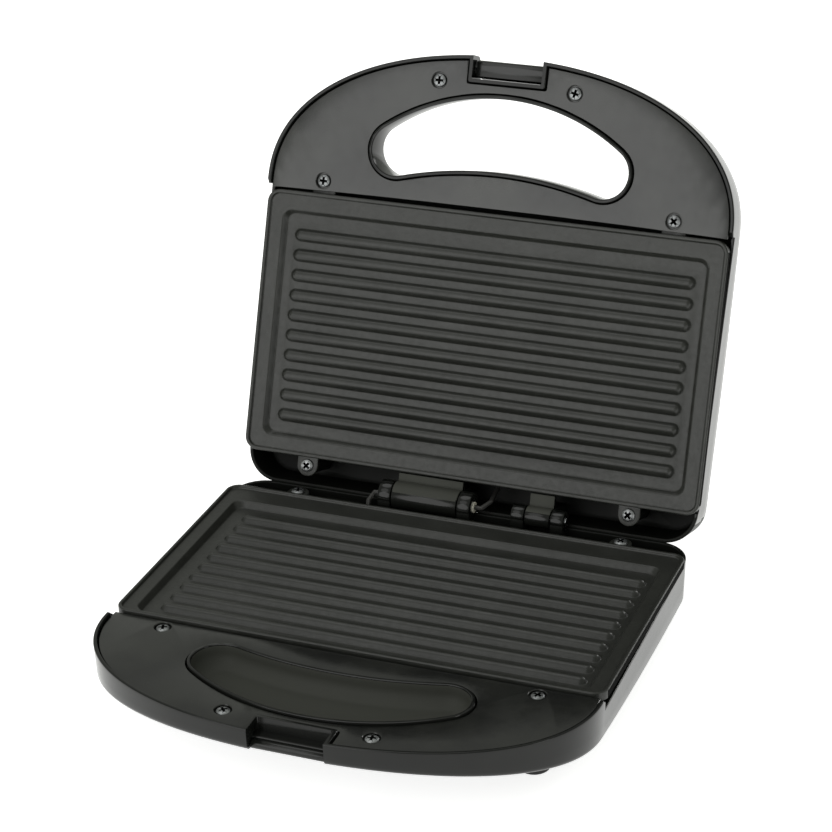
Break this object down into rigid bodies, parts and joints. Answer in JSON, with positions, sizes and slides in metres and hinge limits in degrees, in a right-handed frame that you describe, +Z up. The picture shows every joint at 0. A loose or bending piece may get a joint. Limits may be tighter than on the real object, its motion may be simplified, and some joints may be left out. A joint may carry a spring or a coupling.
{
  "type": "sandwich toaster",
  "caption": "Countertop sandwich toaster: two ribbed grill plates in a black hinged clamshell, each half ending in a round handle with a finger opening, and a flip latch at the front",
  "frame": {"origin": "on the table, midway between the foremost point of the base and the rearmost point of the open lid, and midway between the two sides", "axes": "+X to the right seen from the front, +Y to the rear where the hinge is, +Z up; the handles and the latch are at the front, -Y; the rest pose is the lid open"},
  "size_m": [0.219, 0.2939, 0.2239],
  "materials": {
    "housing": "polished black moulding",
    "handle_cover": "glossy black moulding",
    "latch_plastic": "glossy black moulding",
    "coated_plate": "satin non-stick coating on cast aluminium",
    "element_steel": "drawn tube, dull from heat",
    "reflector_sheet": "bright rolled sheet",
    "plain_steel": "ground",
    "screw_steel": "bright plated",
    "ceramic": "unglazed",
    "carrier_plastic": "heat-proof plastic",
    "rubber": "matt",
    "lead_insulation": "silicone insulation",
    "glass_fibre_sleeve": "braided",
    "lamp_glass": "clear",
    "red_lens": "translucent",
    "green_lens": "translucent"
  },
  "bodies": {
    "base": {"base_shell": "housing", "base_handle_cover": "handle_cover", "lower_plate": "coated_plate", "lower_heating_element": "element_steel", "lower_element_pins": "ceramic", "lower_reflector": "reflector_sheet", "thermostat": "ceramic", "terminal_block": "carrier_plastic", "cord_bush": "rubber", "base_leads": "lead_insulation", "lead_sleeve": "glass_fibre_sleeve", "hinge_pin": "plain_steel", "hinge_bush": "plain_steel", "rubber_feet": "rubber", "base_cover_screws": "screw_steel", "lower_plate_screws": "screw_steel", "lower_reflector_screws": "screw_steel"},
    "lid": {"lid_shell": "housing", "lid_handle_cover": "handle_cover", "upper_plate": "coated_plate", "upper_heating_element": "element_steel", "upper_element_pins": "ceramic", "upper_reflector": "reflector_sheet", "thermal_fuse": "ceramic", "fuse_clip": "reflector_sheet", "lamp_carrier": "carrier_plastic", "indicator_lamps": "lamp_glass", "red_lens": "red_lens", "green_lens": "green_lens", "lid_leads": "lead_insulation", "lid_cover_screws": "screw_steel", "upper_plate_screws": "screw_steel", "upper_reflector_screws": "screw_steel", "latch_pin": "plain_steel"},
    "latch": {"latch": "latch_plastic"}
  },
  "joints": [
    {"name": "lid_hinge", "type": "hinge", "parent": "base", "child": "lid", "pos_m": [0, 0.05383, 0.036], "axis": [-1, 0, 0], "range_deg": [-110.2, 0]},
    {"name": "latch_pivot", "type": "hinge", "parent": "lid", "child": "latch", "pos_m": [0, 0.1282, 0.21727], "axis": [-1, 0, 0], "range_deg": [-186, 0]}
  ]
}
